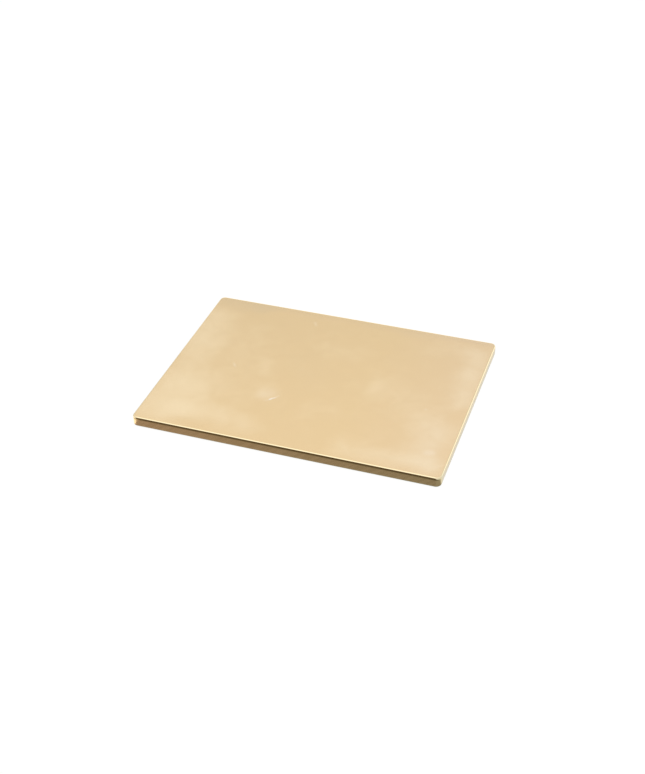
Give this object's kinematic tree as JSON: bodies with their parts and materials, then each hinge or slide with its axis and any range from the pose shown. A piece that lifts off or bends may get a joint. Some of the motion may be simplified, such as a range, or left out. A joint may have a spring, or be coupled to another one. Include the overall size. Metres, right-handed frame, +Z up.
{
  "type": "paperweight",
  "caption": "Flat rectangular solid brass plate with rounded corners and eased edges, which holds down sheets of paper, on a thin felt pad set into its underside.",
  "frame": {"origin": "centre of the felt pad's underside, on the surface that the paperweight stands on", "axes": "+X along the plate's long side, +Y along its short side, +Z up through the plate's thickness"},
  "size_m": [0.108, 0.081, 0.0042],
  "materials": {
    "brass": "fine satin polish, not lacquered, with ground sides",
    "adhesive_film": "translucent double-sided adhesive film",
    "felt": "pressed wool felt, charcoal, dull"
  },
  "bodies": {
    "root": {"brass_plate": "brass", "adhesive_film": "adhesive_film", "felt_pad": "felt"}
  },
  "joints": []
}
